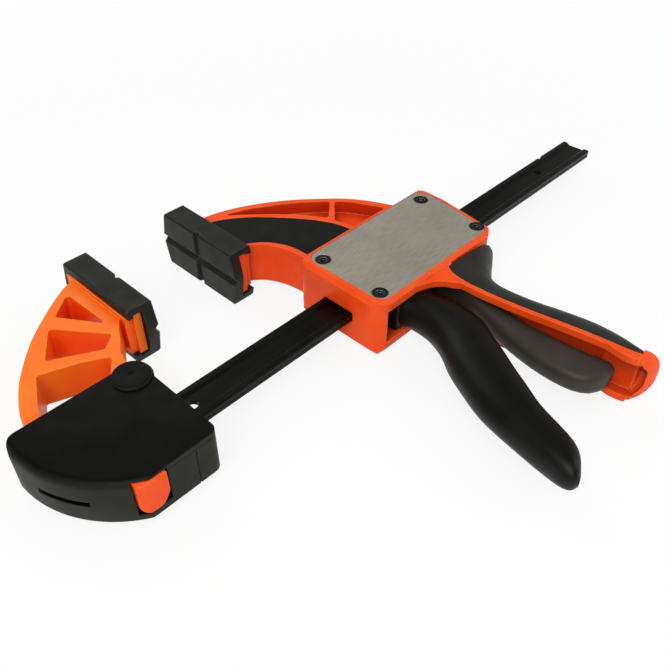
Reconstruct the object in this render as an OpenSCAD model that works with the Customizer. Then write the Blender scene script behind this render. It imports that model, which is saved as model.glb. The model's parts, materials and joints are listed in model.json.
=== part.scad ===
// Quick release bar clamp, lying on its side.
// X runs along the bar towards the trigger head, Y towards the jaws, Z up through the thickness.
// The origin is on the bar's centre line, in the plane of the fixed jaw's face.

/* [Bar] */
// Width of the bar
bar_w = 19; // [18:0.5:20]
// Thickness of the bar
bar_t = 5.3; // [4.5:0.1:5.6]
// Length of the bar
bar_len = 365; // [340:5:460]
// Width of the channel in each broad face
bar_channel_w = 12.6; // [9:0.2:13.6]
// Depth of the channel in each broad face
bar_channel_d = 1.1; // [0.5:0.1:1.4]
// Depth of the fine groove in each narrow side
bar_groove_d = 0.4; // [0.2:0.1:0.6]
// Diameter of the hole near each end
bar_hole_d = 5.5; // [4:0.5:7]
// Distance of each hole from its end
bar_hole_in = 46; // [42:1:60]
// Distance of each edge notch from its end
notch_in = 30; // [29:0.5:31]
// Length of each edge notch
notch_len = 4.4; // [4:0.2:5]
// Depth of each edge notch
notch_d = 1.8; // [1.6:0.1:2.2]

/* [Jaws] */
// Opening between the jaw faces as stored
jaw_gap = 48; // [20:1:110]
// Length of a jaw pad, across the bar, at its middle
pad_len = 60; // [56:1:64]
// Distance by which each end of a pad bulges
pad_bulge = 2.8; // [1:0.2:3.4]
// Width of a jaw pad, through the thickness
pad_w = 32.4; // [32:0.2:38]
// Depth of a jaw pad, along the bar
pad_d = 13.8; // [13.4:0.2:16]
// Distance from the bar's centre line to the middle of the pads
reach = 82.5; // [80:0.5:88]
// Depth of the V grooves in a jaw face
pad_groove_d = 2.2; // [1:0.1:2.8]
// Width of the V groove along a jaw face
pad_groove_w = 5; // [3:0.5:7]
// Wall between the jaw face and the T slot
pad_wall = 6; // [5:0.2:6.4]
// Thickness of the T flange in the pad
tee_t = 4.4; // [3.2:0.2:5.4]
// Width of the T flange in the pad
tee_w = 24.4; // [22:0.4:26]
// Thickness of the closed end of a pad
pad_end = 5; // [4.6:0.2:6]

/* [Fixed head] */
// Distance from the jaw face back to the front of the housing
head_back = 27; // [26:0.5:30]
// Thickness of the housing
head_t = 23.6; // [23.2:0.2:26]
// Distance from the bar's centre line to the lower side of the housing
head_low = 26.4; // [26:0.2:30]
// Distance from the bar's centre line to the mouth of the housing
head_high = 30.7; // [29:0.2:31.5]
// Depth of the bar inside the housing
bar_in = 40; // [39.5:0.5:41]
// Wall of the housing over the jaw
head_wall = 2.3; // [2:0.1:2.5]
// Radius of the round back, about the jaw pivot
back_r = 57.5; // [57:0.5:60]
// Radius of the rounded rear edge on top
back_edge_r = 4; // [2:0.2:5]
// Radius of the rounded rear edge below
low_edge_r = 1; // [0.4:0.2:3]
// Distance of the jaw pivot behind the housing's front
pivot_in = 7; // [6:0.5:8]
// Distance of the jaw pivot from the bar's centre line
pivot_up = 23; // [22.5:0.1:24]
// Diameter of the jaw pivot pin
jaw_pin_d = 8; // [6:0.5:10]
// Diameter of the pivot cap
cap_d = 17.5; // [15:0.5:19]
// Height of the pivot cap
cap_h = 1.6; // [1:0.1:2.5]

/* [Swing jaw] */
// Thickness of the swing jaw
jaw_t = 18.6; // [16:0.2:18.6]
// Outer radius of the jaw's rim where it enters the housing
rim_r = 47; // [46:0.5:48.5]
// Width of the jaw's rim
rim_w = 7; // [5:0.5:8]
// Width of the jaw's ribs
rib_w = 5; // [4:0.5:7]
// Width of the flange along the throat
throat_w = 7; // [6:0.5:9]
// Angle to which the rim's tail reaches into the housing
tail_a = 190; // [186:1:191]
// Angle by which the jaw swings outwards
jaw_swing = 15; // [5:1:16]

/* [Lock] */
// Width of the lock button
button_w = 13; // [12:0.5:14]
// Height of the lock button
button_h = 18; // [16:0.5:18.5]
// Distance that the button stands out of the housing
button_out = 0.8; // [0.2:0.2:2]
// Gap around the button
button_gap = 0.8; // [0.6:0.1:1.2]
// Diameter of the lock pin
lock_pin_d = 2.5; // [2:0.1:2.8]
// Thickness of the lock catch
catch_t = 4; // [3:0.2:5]

/* [Trigger head] */
// Distance from the jaw face to the front of the body
body_front = 22.3; // [22:0.1:25]
// Length of the body along the bar
body_len = 95.5; // [95:0.5:100]
// Thickness of the body
body_t = 32.4; // [31.6:0.2:36]
// Distance from the bar's centre line to the body's lower side
body_low = 27; // [27:0.2:29]
// Distance from the bar's centre line to the body's upper side
body_high = 28.4; // [28:0.2:31]
// Distance by which the body's back slants towards its lower side
body_slant = 5.5; // [2:0.5:7]
// Thickness of each side plate
plate_t = 1.3; // [1:0.1:1.5]
// Border of the body around each side plate
plate_border = 2.2; // [1.8:0.1:2.8]
// Diameter of a plate screw's head
screw_head_d = 8.4; // [7:0.2:8.6]
// Diameter of a plate screw's shank
screw_d = 4; // [3:0.5:5]
// Length of a plate screw
screw_len = 12; // [10:0.5:14]
// Distance between the plate screws along the bar
screw_span_x = 78.2; // [77:0.2:78.6]
// Distance between the plate screws across the bar
screw_span_y = 38; // [37:0.5:39]

/* [Arm] */
// Thickness of the arm
arm_t = 23.6; // [23:0.2:26]
// Depth of the pockets in the arm
arm_pocket_d = 7.5; // [4:0.5:9]
// Thickness of the arm's inlays
inlay_t = 1.2; // [0.8:0.1:1.6]
// Thickness of the cross rib between the pockets
arm_rib_w = 3; // [2:0.5:5]

/* [Grip] */
// Length of the grip, from the body's lower side to its end
grip_len = 107; // [104:1:114]
// Thickness of the grip
grip_t = 27; // [26.6:0.2:29]
// Width of the orange edge beside the soft cover
edge_w = 2.5; // [2:0.1:3.5]
// Thickness of the soft cover
cover_t = 1.8; // [1.4:0.1:2]
// Width of the channel for the handle
channel_w = 19.4; // [19.2:0.1:20]
// Radius of the lanyard hole
lanyard_r = 1.75; // [1.25:0.25:2.25]

/* [Handle] */
// Length of the squeeze handle below the bar's centre line
handle_len = 142; // [138:1:146]
// Thickness of the squeeze handle
handle_t = 18.4; // [17:0.2:18.6]
// Wall of the handle beside its hollow back
handle_wall = 2.2; // [1.6:0.1:2.4]
// Diameter of the handle's pin
handle_pin_d = 6; // [5:0.5:7]
// Distance of the handle's pin behind the body's front
handle_pin_x = 20.5; // [20:0.25:21]
// Distance of the handle's pin from the bar's centre line
handle_pin_y = 17; // [16.5:0.25:17.25]

/* [Release] */
// Thickness of the release lever
lever_t = 13; // [11:0.2:13.4]
// Diameter of the lever's pin
lever_pin_d = 4; // [3:0.5:4.5]
// Thickness of the brake plate
brake_t = 3.5; // [2.5:0.1:4]
// Tilt of the brake plate when it holds
brake_tilt = 3.5; // [2.5:0.25:4.5]

/* [Drive] */
// Thickness of one drive plate
drive_t = 2.5; // [2:0.1:2.8]
// Number of drive plates
drive_count = 2; // [1:1:2]
// Diameter of the wire in the springs
wire_d = 1.1; // [0.8:0.1:1.4]

/* [Fits] */
// Play of the bar in its slots, on each side
bar_play = 0.2; // [0.1:0.05:0.4]
// Running clearance of each pin, on the radius
pin_play = 0.05; // [0.02:0.01:0.08]
// Gap between pieces that pass each other
gap = 0.3; // [0.2:0.05:0.4]
// Gap between the soft cover and the grip's core
cover_fit = 0.15; // [0.1:0.05:0.2]

/* [Hidden] */
$fn = 48;
e = 0.01;                       // overrun of a cutter past the face that it opens

// colours
orange = [0.93, 0.30, 0.10];
black = [0.09, 0.09, 0.09];
steel = [0.55, 0.56, 0.58];
dark = [0.22, 0.21, 0.20];

// places on the fixed head
front = -head_back;             // front of the housing
pivot = [front - pivot_in, pivot_up];
bar_start = front - bar_in;     // the bar's end inside the housing
hz = head_t / 2;                // half thickness of the housing
jz = jaw_t / 2;                 // half thickness of the jaw
hub_r = pivot_up - bar_w / 2 - 4.7;   // the jaw's hub, clear of the bar's slot
cavity_r = rim_r + 3.2;         // inner radius of the round back
cavity_z = hz - head_wall;
wall_y = bar_w / 2 + 2.6;       // wall between the bar's slot and the jaw's cavity
notch_x = bar_start + notch_in; // the notch that the catch holds
catch_at = [notch_x - 10, -bar_w / 2 - 3];
button_x = catch_at[0] - 13;    // middle of the button
button_in = 9;                  // depth of the button behind the housing's side
button_face = -head_low + button_in;
button_travel = 3;
button_top = cavity_z + 0.9;
button_low = button_top - button_h;
button_side = button_x - 3.2;   // middle of the button's spring
screw_sink = 2.4;               // depth of the recess for each housing screw's head

// Places on the trigger head. Its outlines are drawn with the body's front on x = ref.
ref = 23.5;
face_x = ref - body_front;      // the jaw face
pad_back = face_x + pad_d;
bz = body_t / 2;
az = arm_t / 2;
gz = grip_t / 2;
body_back = ref + body_len;
plate_z = bz - plate_t - 0.2;   // floor of each plate's recess
cav_z = 11.5;                   // half height of the body's hollow
cav_front = ref + 5.5;
cav_back = body_back - 9;
cav_high = handle_pin_y + 6.6;
cav_low = -body_low + 3;
screw_c = [ref + 48, 0];        // middle of the screw pattern
hp = [ref + handle_pin_x, handle_pin_y];
lp = [78, -bar_w / 2 - 4.4];    // the release lever's pin
drive_x = hp[0] + 13;           // front of the drive plates
drive_z = 9;                    // half width of the plates
drive_y = bar_w / 2 + 4;
rib_x = 72.5;                   // cross rib that backs the drive spring
rib_t = 2.5;
brake_at = [91, cav_high - 2.6]; // top of the brake plate, which it tilts about
brake_len = brake_at[1] - cav_low - 1;
neck_z = tee_w / 2 - 1;         // half width of the T flange's neck
tee_play = 0.6;                 // room for the T flange in its soft slot, on each side
tee_in = 3.4;                   // distance of the T flange from the pad's open end
neck_in = 5;                    // the same for the flange's neck
arm_x = pad_back + gap;         // start of the arm behind its pad
reach_lo = reach - pad_len / 2;
reach_hi = reach + pad_len / 2;

// ---- plan outlines ----
function unit(v) = v / norm(v);
function mix(a, b, t) = a + (b - a) * t;

// rounds one corner b of the path a-b-c by radius r, with n steps
function corner(a, b, c, r, n) =
    let (u = unit(a - b), v = unit(c - b),
         ang = acos(max(-1, min(1, u * v))),
         t = min(r / tan(ang / 2), 0.49 * min(norm(a - b), norm(c - b))),
         q = t * tan(ang / 2),
         m = b + unit(u + v) * q / sin(ang / 2),
         s = b + u * t - m, f = b + v * t - m,
         a0 = atan2(s[1], s[0]), a1 = atan2(f[1], f[0]),
         d = ((a1 - a0 + 540) % 360) - 180)
    [for (i = [0 : n]) m + q * [cos(a0 + d * i / n), sin(a0 + d * i / n)]];

// closed outline from [x, y, radius] corners
function rounded(p, n = 5) =
    [for (i = [0 : len(p) - 1])
        let (a = p[(i + len(p) - 1) % len(p)], b = p[i], c = p[(i + 1) % len(p)])
        each corner([a[0], a[1]], [b[0], b[1]], [c[0], c[1]], b[2], n)];

// smooth curve through open points, with n steps in each stretch
function spline(p, n = 6) =
    let (k = len(p) - 1)
    [for (i = [0 : k - 1]) for (j = [0 : (i == k - 1 ? n : n - 1)])
        let (t = j / n, a = p[max(i - 1, 0)], b = p[i], c = p[i + 1], d = p[min(i + 2, k)])
        0.5 * (2 * b + (c - a) * t + (2 * a - 5 * b + 4 * c - d) * t * t
               + (3 * b - a - 3 * c + d) * t * t * t)];

function arc(m, r, a0, a1, n = 12) =
    [for (i = [0 : n]) m + r * [cos(mix(a0, a1, i / n)), sin(mix(a0, a1, i / n))]];

function rev(p) = [for (i = [len(p) - 1 : -1 : 0]) p[i]];

// ---- solid helpers ----
module slab(z0, z1) translate([0, 0, z0]) linear_extrude(z1 - z0) children();
module both(z) slab(-z, z) children();
module head() translate([jaw_gap - face_x, 0, 0]) children();
module pin(at, d, z0, z1) translate([at[0], at[1], z0]) cylinder(d = d, h = z1 - z0);
module box(x0, x1, y0, y1, z0, z1) translate([x0, y0, z0]) cube([x1 - x0, y1 - y0, z1 - z0]);
module along_x() rotate([90, 0, 90]) children();
module along_y() rotate([90, 0, 0]) children();

// rod with a hexagon socket in its head, standing on its shank's tip
module socket_screw(head_d, head_h, d, len) difference() {
    union() {
        cylinder(d = d, h = len - head_h + e);
        translate([0, 0, len - head_h]) cylinder(d = head_d, h = head_h);
    }
    translate([0, 0, len - head_h * 0.7]) cylinder(d = head_d * 0.5, h = head_h, $fn = 6);
}

// coil spring from z = 0 to z = h with flat wire rings
module spring(r, h, turns, w = wire_d) {
    n = 14;
    m = 8;
    k = n * turns;
    rings = [for (i = [0 : k]) let (a = 360 * i / n, z = w / 2 + (h - w) * i / k)
        [for (j = [0 : m - 1]) let (b = 360 * j / m)
            [(r + w / 2 * cos(b)) * cos(a), (r + w / 2 * cos(b)) * sin(a), z + w / 2 * sin(b)]]];
    skin(rings);
}

// Closed solid through rings with the same number of points. Each end is one flat face, or on
// a thin C, whose second half runs back along its first, a strip of triangles between the two.
module skin(rings, thin = false) {
    k = len(rings) - 1;
    m = len(rings[0]);
    strip = [for (j = [0 : m / 2 - 2]) each [[j + 1, j, m - 1 - j], [j + 1, m - 1 - j, m - 2 - j]]];
    near = thin ? strip : [[for (j = [m - 1 : -1 : 0]) j]];
    polyhedron(points = [for (r = rings) each r], faces = concat(near,
        [for (i = [0 : k - 1]) for (j = [0 : m - 1])
            each [[i * m + j, i * m + (j + 1) % m, (i + 1) * m + (j + 1) % m],
                  [i * m + j, (i + 1) * m + (j + 1) % m, (i + 1) * m + j]]],
        [for (f = near) [for (j = [len(f) - 1 : -1 : 0]) k * m + f[j]]]), convexity = 8);
}

// ---- bar ----
module bar() color(black) difference() {
    translate([bar_start, 0, 0]) along_x() linear_extrude(bar_len) polygon(bar_section());
    for (x = [bar_start + bar_hole_in, bar_start + bar_len - bar_hole_in])
        pin([x, 0], bar_hole_d, -bar_t, bar_t);
    bar_notch(bar_start + notch_in, -1);
    bar_notch(bar_start + bar_len - notch_in, 1);
}

function bar_section() =
    let (w = bar_w / 2, t = bar_t / 2, c = bar_channel_w / 2, d = bar_channel_d, g = bar_groove_d,
         q = [[w, g], [w, t - 0.6], [w - 0.6, t], [c, t], [c - 1.4, t - d]])
    concat([[w - g, 0]], q, [for (p = rev(q)) [-p[0], p[1]]],
           [[-(w - g), 0]], [for (p = q) [-p[0], -p[1]]], [for (p = rev(q)) [p[0], -p[1]]]);

module bar_notch(x, side) translate([x, side * bar_w / 2, 0]) both(bar_t)
    polygon([[-notch_len / 2, side * e], [-notch_len / 2 + 0.6, -side * notch_d],
             [notch_len / 2 - 0.6, -side * notch_d], [notch_len / 2, side * e]]);

// ---- jaw pads ----
// pad with its face on x = 0, its back towards +x and its open end towards -y
module pad() difference() {
    w = pad_w / 2;
    g = pad_groove_w / 2;
    t = tee_w / 2 + tee_play;
    n = neck_z + gap;
    back = pad_wall + tee_t + 2 * gap;
    intersection() {
        translate([0, reach_hi, 0]) along_y() linear_extrude(pad_len) polygon(
            [[0, -w + 0.9], [0, -g], [pad_groove_d, 0], [0, g], [0, w - 0.9], [0.9, w],
             [pad_d - 0.8, w], [pad_d, w - 0.8], [pad_d, -w + 0.8], [pad_d - 0.8, -w], [0.9, -w]]);
        // both ends bulge at the middle of the thickness
        translate([-1, 0, 0]) along_x() linear_extrude(pad_d + 2) polygon(
            [for (s = [-1, 1]) for (z = s * [-1, -0.15, 0.15, 1])
                [reach + s * (pad_len / 2 - pad_bulge * (abs(z) == 1 ? 1 : 0)), z * w]]);
    }
    box(pad_wall, back, reach_lo - 1, reach_hi - pad_end, -t, t);
    box(back - e, pad_d + 1, reach_lo - 1, reach_hi - pad_end, -n, n);
    // groove up the face
    both(pad_w) polygon([[-e, reach - g], [-e, reach + g], [pad_groove_d, reach + g - 1],
                         [pad_groove_d, reach - g + 1]]);
}

// T flange for a pad, with its neck back to x = to
module tee(to) {
    y1 = reach_hi - pad_end - gap;
    box(pad_wall + gap, pad_wall + gap + tee_t, reach_lo + tee_in, y1, -tee_w / 2, tee_w / 2);
    box(pad_wall + gap, to, reach_lo + neck_in, y1, -neck_z, neck_z);
}

module fixed_pad() color(black) mirror([1, 0, 0]) pad();
module moving_pad() color(black) translate([jaw_gap, 0, 0]) pad();

// ---- swing jaw ----
// point on the jaw, drawn with its pivot on (-7, 23) and the end of its pad on (13.2, 112.5)
function jaw_at(x, y) = [mix(pivot[0], -pad_d, (x + 7) / 20.2), mix(pivot[1], reach_hi, (y - 23) / 89.5)];
function jaw_points(p) = [for (q = p) jaw_at(q[0], q[1])];
function jaw_corners(p) = [for (q = p) concat(jaw_at(q[0], q[1]), [q[2]])];

// outer edge of the jaw, from its tip round into the housing
function jaw_back() = concat(
    spline(jaw_points([[12.9, 103.4], [6, 100.4], [-3, 94.6], [-13, 87], [-23.4, 78.2], [-33, 68],
                       [-41.5, 57.2], [-46.2, 49.5]]), 4),
    arc(pivot, rim_r, 153, tail_a, 6));
function jaw_front() = jaw_points([[12.9, 62], [9, 57], [5, 50], [0, 42.5], [-2.2, 35]]);

module swing_jaw() color(orange) difference() {
    union() {
        mirror([1, 0, 0]) tee(pad_d + 0.7);
        both(jz) polygon(concat(jaw_back(),
            rev(arc(pivot, rim_r - rim_w, 166, tail_a, 4)),
            [pivot + hub_r * [-0.98, 0.2], pivot, pivot + hub_r * [0.6, 0.8]], rev(jaw_front())));
        pin(pivot, 2 * hub_r, -jz, jz);
    }
    for (p = jaw_pockets()) both(jaw_t) polygon(rounded(jaw_corners(p), 4));
    pin(pivot, jaw_pin_d + 2 * pin_play, -jaw_t, jaw_t);
}

// The three pockets between the rim, the ribs and the flange along the throat. The
// width of the ribs and of the flange is taken from the pockets' sides.
function jaw_pockets() = let (r = (rib_w - 5) / 2, t = throat_w - 7) [
    [[5 - t, 95.4, 1.6], [-8, 84.4 + r, 1.2], [6.4 - t, 63 + r, 0.9]],
    [[-14.6, 79 - r, 1.5], [4 - t, 55 - r, 1.5], [-4, 48.6 + r, 1], [-27, 61 + r, 1.5]],
    [[-34.4, 55.6 - r, 1.5], [-17, 49 - r, 20], [-4.5, 42.2 - r, 2], [-12, 32.5, 3], [-20, 29, 4],
     [-45.8, 27, 2], [-44.2, 37, 10]]];

// ---- fixed head ----
// whole outside of the housing
module housing_form() {
    intersection() {
        translate([pivot[0], pivot[1], 0]) rotate_extrude($fn = 96) polygon(concat(
            [[0, -hz]], arc([back_r - low_edge_r, -hz + low_edge_r], low_edge_r, -90, 0, 3),
            arc([back_r - back_edge_r, hz - back_edge_r], back_edge_r, 0, 90, 6), [[0, hz]]));
        both(hz + 1) polygon(rounded([[front, -head_low, 4], [front, head_high - 10, 1],
            [pivot[0], head_high, 1], [pivot[0] - back_r + 2.6, head_high, 6],
            [pivot[0] - back_r - 1, head_high - 9, 2], [pivot[0] - back_r - 1, -head_low, 0.5]]));
    }
    pin(pivot, cap_d + 1.2, -hz, hz);
}

module housing_hollow() {
    // room for the jaw: round back, and the hub
    intersection() {
        pin(pivot, 2 * cavity_r, -cavity_z, cavity_z);
        box(front - 80, front - 2.5, wall_y, head_high + 20, -hz, hz);
    }
    pin(pivot, max(2 * hub_r + 1, cap_d + 1.6), -cavity_z, cavity_z);
    // way for the rim's tail behind the bar's end
    intersection() {
        difference() {
            pin(pivot, 2 * cavity_r, -cavity_z, cavity_z);
            pin(pivot, 2 * (rim_r - rim_w) - 1.2, -hz, hz);
        }
        both(hz) polygon([pivot, pivot + 80 * [cos(170), sin(170)],
                          pivot + 80 * [cos(tail_a + jaw_swing + 2), sin(tail_a + jaw_swing + 2)]]);
    }
    // slot for the bar
    box(bar_start - gap, front + e, -bar_w / 2 - bar_play, bar_w / 2 + bar_play,
        -bar_t / 2 - bar_play, bar_t / 2 + bar_play);
    // room for the button, the catch and the spring
    bw = button_w / 2 + button_gap;
    box(button_x - bw, button_x + bw, -head_low - 5, button_face + button_travel + 0.5,
        button_low - button_gap * 0.7, button_top + gap);
    box(button_x - 1, button_x + bw, button_face - 1, -bar_w / 2 - bar_play, -6, 6);
    box(button_x - bw, button_x, button_face - 1, button_face + 5, -6, 6);
    box(button_x, notch_x + 4, -bar_w / 2 - 8, -bar_w / 2 + 1, -catch_t / 2 - 1, catch_t / 2 + 1);
}

// seam detail: the crescent slot at the back and a fine vertical line in the lower side
module housing_marks() {
    intersection() {
        difference() {
            pin(pivot, 2 * back_r + 10, -2, 0.9);
            pin(pivot, 2 * back_r - 5, -3, 3);
        }
        both(3) polygon([pivot, pivot + 70 * [cos(194), sin(194)], pivot + 70 * [cos(205), sin(205)],
                         pivot + 70 * [cos(217), sin(217)]]);
    }
    box(front - 12.2, front - 11.7, -head_low - 1, -head_low + 0.5, -hz - 1, hz - 2.5);
    box(front - 60, front + 1, -head_low - 1, -head_low + 0.35, hz - 2.8, hz - 2.4);
}

module housing_half(up) difference() {
    intersection() {
        housing_form();
        box(front - 90, front + 10, -60, 60, up ? 0 : -hz - 1, up ? hz + 1 : 0);
    }
    housing_hollow();
    housing_marks();
    pin(pivot, jaw_pin_d, -hz - 1, hz + 1);
    pin(catch_at, lock_pin_d, -hz + 3, hz - 3);
    for (p = housing_screw_at()) {
        pin(p, 3, -hz - 1, hz - 3);
        pin(p, 6.2, -hz - 1, -hz + screw_sink);
    }
}

function housing_screw_at() = [pivot + (cavity_r + 3.7) * [cos(176), sin(176)],
    pivot + (cavity_r + 2) * [cos(219), sin(219)], [front - 5, -20]];

module housing_upper() color(black) housing_half(true);
module housing_lower() color(black) housing_half(false);

module housing_screws() color(steel) for (p = housing_screw_at())
    translate([p[0], p[1], hz - 3.5]) mirror([0, 0, 1]) socket_screw(6, 2.2, 2.9, head_t - 1.3 - screw_sink);

module jaw_pin() color(steel) pin(pivot, jaw_pin_d - 0.02, -hz, hz);

module pivot_cap() color(black) translate([pivot[0], pivot[1], hz]) rotate_extrude($fn = 72)
    polygon(concat([[0, 0], [cap_d / 2, 0]], arc([cap_d / 2 - 1, cap_h - 1], 1, 0, 90, 5),
                   [[cap_d * 0.12, cap_h], [0, cap_h - 0.25]]));

module lock_button() color(orange) difference() {
    intersection() {
        translate([button_x, button_face, 0]) along_y() linear_extrude(button_in + button_out)
            polygon(rounded([[-button_w / 2, button_top, 1.5], [button_w / 2, button_top, 1],
                [button_w / 2, button_low + 6, 5], [button_w * 0.22, button_low, 4],
                [-button_w / 2, button_low + 0.8, 4]]));
        // its face goes on round the housing's back
        pin(pivot, 2 * (back_r + button_out), -hz, hz);
    }
    translate([button_side, button_face + e, 0]) along_y() cylinder(d = 4.8, h = 3);
}

// rocker: tail under the button, hook in the bar's notch
module lock_catch() color(steel) difference() {
    union() {
        pin(catch_at, 5, -catch_t / 2, catch_t / 2);
        both(catch_t / 2) polygon(rounded([[catch_at[0], catch_at[1] - 2.2, 0.5],
            [button_x + 0.5, button_face + gap, 0.8], [button_x + 0.5, button_face + 3, 0.8],
            [catch_at[0] - 1, catch_at[1] + 1.2, 0.5]]));
        both(catch_t / 2) polygon([[catch_at[0], catch_at[1] - 2.2], [notch_x + 0.4, catch_at[1] - 1.6],
            [notch_x + 0.4, -bar_w / 2 + notch_d - gap], [notch_x - 1.2, -bar_w / 2 + notch_d - gap],
            [notch_x - 1.5, catch_at[1] + 1.4], [catch_at[0], catch_at[1] + 1.2]]);
    }
    pin(catch_at, lock_pin_d + 2 * pin_play, -catch_t, catch_t);
}

module lock_pin() color(steel) pin(catch_at, lock_pin_d - 0.02, -hz + 3.2, hz - 3.2);

module lock_spring() color(steel) translate([button_side, button_face + 4.9, 0]) along_y()
    spring(1.7, 7.7, 5, 0.7);

// ---- trigger head ----
function body_outline(in = 0) = rounded([
    [ref + in, -body_low + in, 8 - in], [ref + in, body_high - in, 6 - in],
    [body_back - in, body_high - in, 7 - in], [body_back - in * 0.9, 10, 20],
    [body_back - body_slant - in, -body_low + in, 5 - in]], 8);

// point on the arm, from its pad end to its root in x and from the body to its tip in y
function arm_at(x, y) = [mix(arm_x, ref + 77.5, (x - 15.5) / 85.5),
                         mix(body_high, reach_hi - 10, (y - 28) / 74.6)];
function arm_points(p) = [for (q = p) arm_at(q[0], q[1])];
function arm_corners(p) = [for (q = p) concat(arm_at(q[0], q[1]), [q[2]])];
function arm_outer() = spline(arm_points([[15.5, 97.6], [21, 96.9], [29, 95], [39.4, 91], [49.6, 85.7],
    [59.3, 79.5], [68.3, 72.5], [76.6, 64.9], [84.8, 56.9], [91.8, 47.6], [97.3, 37.6], [101.6, 28]]), 3);
function arm_inner() = spline(arm_points([[31.2, 28], [30.9, 34.4], [30, 41], [28.3, 46.8], [26, 52],
    [23.2, 55.8], [19.4, 59.2], [15.5, 61.6]]), 3);
// the inlay runs out at the pad, where its recess is cut a little further
function inlay_outline(further = 0) = concat(
    [arm_at(15.5, 92.4) - [further, 0]],
    spline(arm_points([[15.5, 92.4], [20.2, 90.5], [25.7, 87.7], [32.4, 83], [38.6, 77.6], [44.2, 71.5],
        [49.6, 65.1], [54.7, 58.5], [59.4, 51.6], [63.4, 44.3], [65.4, 38.4], [66.8, 31.5]]), 2),
    spline(arm_points([[34, 31.5], [33.7, 37.5], [32.9, 42.5], [31.7, 46.5], [29.3, 51.4],
        [26.1, 55.6], [22.6, 58.8], [19.2, 61], [15.5, 63]]), 2),
    [arm_at(15.5, 63) - [further, 0]]);
// the long pocket behind the outer edge and the short one above the body, with a rib between
function arm_pockets() = let (r = (arm_rib_w - 3) / 2) [
    rounded(arm_corners([[25, 92.7, 1.2], [42.3, 85.9, 40], [61.8, 73.9, 60], [79.1, 59.1 + r, 2],
        [66.2, 47.4 + r, 2], [57.5, 61.4, 40], [46.3, 73.7, 60], [34.4, 85, 30]]), 4),
    rounded(arm_corners([[81, 57.4 - r, 2], [86.4, 49.9, 20], [91.8, 40, 20], [95.4, 31.5, 1],
        [69.6, 31.5, 1], [68.4, 38, 6], [66.6, 43.2 - r, 1.5]]), 4)];

module arm() difference() {
    union() {
        both(az) polygon(concat(arm_outer(), arm_points([[95, 25], [35, 25]]), arm_inner()));
        translate([face_x, 0, 0]) tee(arm_x + 0.5 - face_x);
    }
    for (s = [0, 1]) mirror([0, 0, s]) {
        slab(az - inlay_t - 0.2, az + 1) polygon(inlay_outline(e));
        for (p = arm_pockets()) slab(az - arm_pocket_d, az + 1) polygon(p);
    }
}

module arm_inlay() slab(az - inlay_t - 0.2, az - 0.2) polygon(inlay_outline());
module arm_inlay_top() color(black) head() arm_inlay();
module arm_inlay_bottom() color(black) head() mirror([0, 0, 1]) arm_inlay();

// Points on the grip: where the cover starts, and its back.
function grip_at(x, y) = [x, -body_low + (y + 27) * grip_len / 107];
function grip_points(p) = [for (q = p) grip_at(q[0], q[1])];
grip_f = grip_points([[75, -28], [73.2, -30.5], [72, -33.4], [71, -41], [71.2, -50], [72.2, -61],
    [74.4, -76], [77, -90], [79.4, -104], [81, -116], [82, -124], [83, -128.5]]);
grip_b = grip_points([[115.4, -27.3], [112.4, -30.8], [105.2, -35.6], [96.4, -41], [88.6, -47.5],
    [86.6, -58], [88.4, -73], [92, -87], [94.4, -101], [93.8, -113], [91.6, -122], [89.4, -127.5]]);
function grip_line(k) = spline([for (i = [0 : len(grip_f) - 1]) mix(grip_f[i], grip_b[i], k)], 3);
function grip_edge() = [for (p = spline(grip_f, 3)) p - [edge_w, 0]];

// Rounded half section of the grip between its front edge f and its back b. It lies deep
// under the grip's surface, or deep + low at the sides, and its ends lie start behind f.
function grip_arc(f, b, deep, start, low = 0) =
    let (d = unit(b - f), w = norm(b - f) - deep - start, h = gz - deep - low, n = 14, q = 2 / 2.6)
    [for (j = [0 : n]) let (a = 90 - 180 * j / n, x = start + w * pow(abs(cos(a)), q))
        [f[0] + d[0] * x, f[1] + d[1] * x, h * sign(sin(a)) * pow(abs(sin(a)), q)]];

module grip_cover() color(black) head() {
    f = spline(grip_f, 3);
    b = spline(grip_b, 3);
    skin([for (i = [0 : len(f) - 1])
        concat(grip_arc(f[i], b[i], 0, 0), rev(grip_arc(f[i], b[i], cover_t, gap)))], thin = true);
}

module grip_core() {
    f = spline(grip_f, 3);
    b = spline(grip_b, 3);
    skin(concat([for (i = [0 : len(f) - 1]) grip_arc(f[i], b[i], cover_t + cover_fit, -edge_w / 2)],
        [grip_arc(grip_at(80.4, -131), grip_at(91.4, -131.2), cover_t + cover_fit, -edge_w / 2)]));
    // orange edges beside the cover, wider at the closed end
    both(gz) polygon(concat(grip_edge(), rev([for (p = spline(grip_f, 3)) p - [0.15, 0]])));
    both(gz) polygon(grip_points([[79.4, -112], [77.8, -117], [77.2, -122], [77.6, -126],
        [78.6, -129.4], [82.6, -128.9], [81, -118], [79.8, -112]]));
    // round nose
    skin([for (p = spline([[78.6, -129.4, 90.4, -127.6, 0], [79.6, -130.6, 91.4, -131, 0.6],
        [82.4, -132.8, 91.5, -133.4, 2.2], [85.6, -134.6, 91, -135.2, 4.8],
        [88.4, -135.8, 90.2, -136, 8.6]], 2))
        oval(grip_at(p[0], p[1]), grip_at(p[2], p[3]), gz - p[4], 8, 2.6, 28)]);
    // web between the body and the grip
    both(gz) polygon([[46, -body_low + 6], [78, -body_low + 6], [78, -body_low - 0.6],
        grip_f[0] - [0.2, 0], grip_f[1] - [0.35, 0], grip_f[2] - [0.2, 0], grip_f[3] - [edge_w, 0],
        grip_at(66.4, -38.5), grip_at(64.4, -34.6), grip_at(61.5, -31.4), grip_at(57.5, -29),
        grip_at(53, -27.6), [49, -body_low + 0.4]]);
}

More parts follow.
